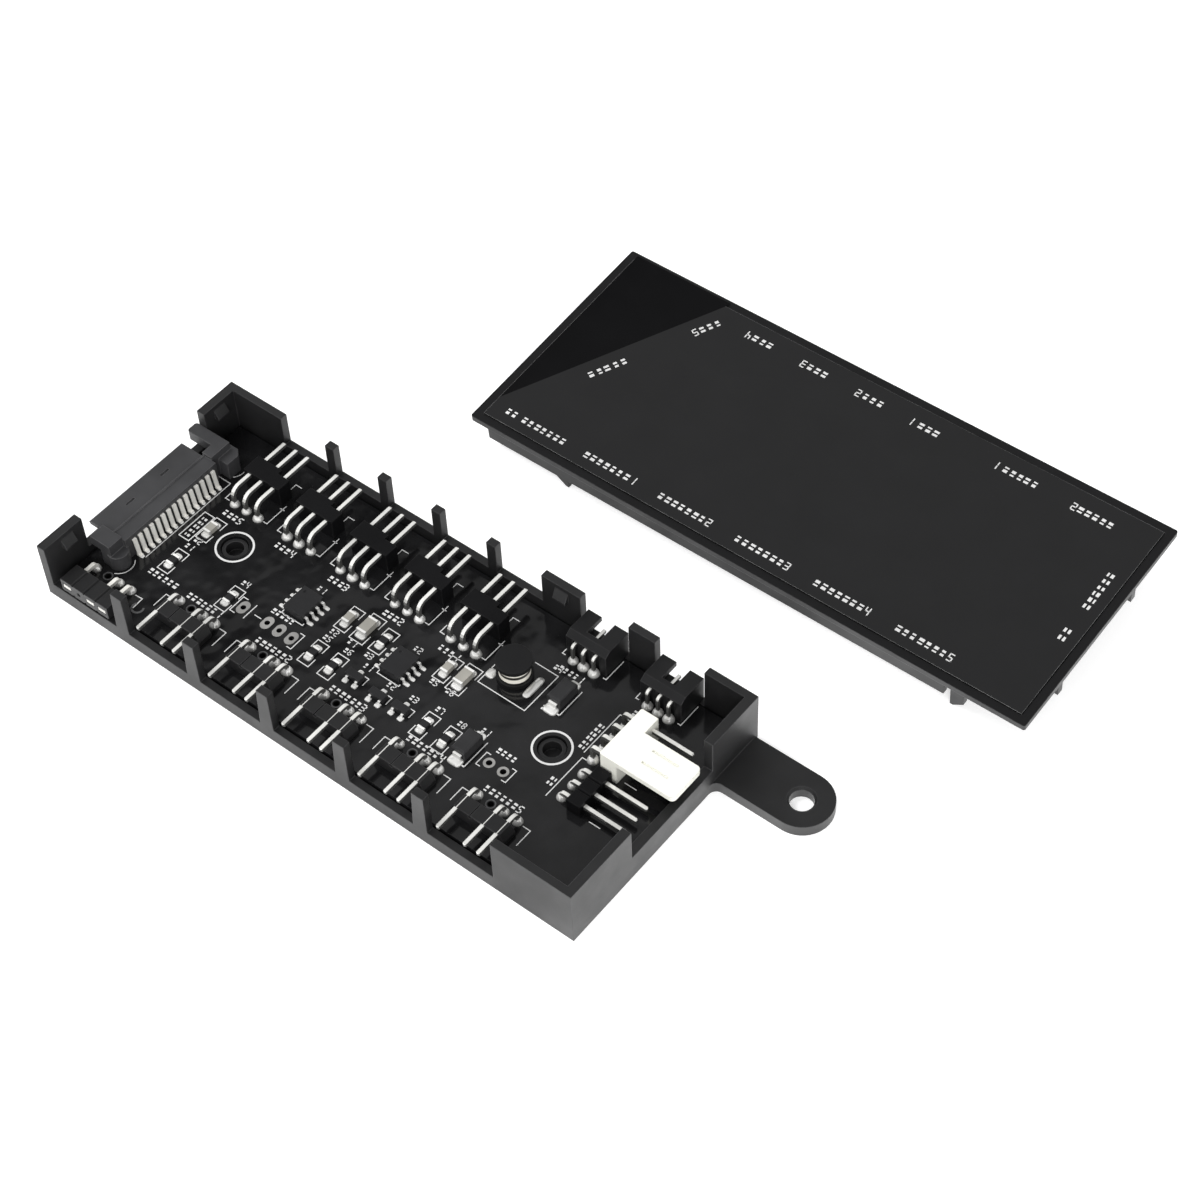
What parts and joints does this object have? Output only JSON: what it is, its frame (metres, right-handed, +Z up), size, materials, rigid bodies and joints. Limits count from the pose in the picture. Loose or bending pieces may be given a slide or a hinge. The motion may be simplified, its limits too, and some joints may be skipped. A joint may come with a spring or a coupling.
{
  "type": "pc fan controller hub",
  "caption": "Open tray with a fan and light controller board, rows of pin headers, a serial power inlet and a screw ear, with its flat cover taken off beside it.",
  "frame": {"origin": "centre of the tray's flat underside, without the ear", "axes": "+X along the tray towards its screw ear, +Y from the light headers to the fan headers, +Z up out of the open tray"},
  "size_m": [0.1397, 0.109, 0.0113],
  "materials": {
    "tray_plastic": "fine matte moulded black",
    "board_laminate": "glossy black solder mask with white print",
    "header_plastic": "satin moulded black",
    "pale_plastic": "satin cream",
    "plated_metal": "bright tin plate",
    "chip_plastic": "matte moulded black",
    "ferrite": "matte dark grey",
    "copper_wire": "enamelled copper",
    "capacitor_ceramic": "fine matte tan",
    "white_print": "screen-printed white ink",
    "panel_plastic": "polished black with white print"
  },
  "bodies": {
    "root": {"board_light_socket_body": "header_plastic", "board_light_socket_contacts": "plated_metal", "capacitor_bodies": "capacitor_ceramic", "capacitor_ends": "plated_metal", "circuit_board": "board_laminate", "control_chip_body_1": "chip_plastic", "control_chip_body_2": "chip_plastic", "control_chip_leads_1": "plated_metal", "control_chip_leads_2": "plated_metal", "cover_frame": "tray_plastic", "cover_panel": "panel_plastic", "diode_bodies": "chip_plastic", "diode_leads": "plated_metal", "fan_header_body_1": "header_plastic", "fan_header_body_2": "header_plastic", "fan_header_body_3": "header_plastic", "fan_header_body_4": "header_plastic", "fan_header_body_5": "header_plastic", "fan_header_pins_1": "plated_metal", "fan_header_pins_2": "plated_metal", "fan_header_pins_3": "plated_metal", "fan_header_pins_4": "plated_metal", "fan_header_pins_5": "plated_metal", "fan_input_body": "pale_plastic", "fan_input_pins": "plated_metal", "inductor_core": "ferrite", "inductor_winding": "copper_wire", "light_header_body_1": "header_plastic", "light_header_body_2": "header_plastic", "light_header_body_3": "header_plastic", "light_header_body_4": "header_plastic", "light_header_body_5": "header_plastic", "light_header_pins_1": "plated_metal", "light_header_pins_2": "plated_metal", "light_header_pins_3": "plated_metal", "light_header_pins_4": "plated_metal", "light_header_pins_5": "plated_metal", "power_inlet_contacts": "plated_metal", "power_inlet_housing": "header_plastic", "resistor_bodies": "chip_plastic", "resistor_ends": "plated_metal", "strip_header_body_1": "header_plastic", "strip_header_body_2": "header_plastic", "strip_header_pins_1": "plated_metal", "strip_header_pins_2": "plated_metal", "switch_header_body": "header_plastic", "switch_header_pins": "plated_metal", "transistor_bodies": "chip_plastic", "transistor_leads": "plated_metal", "tray": "tray_plastic"}
  },
  "joints": []
}
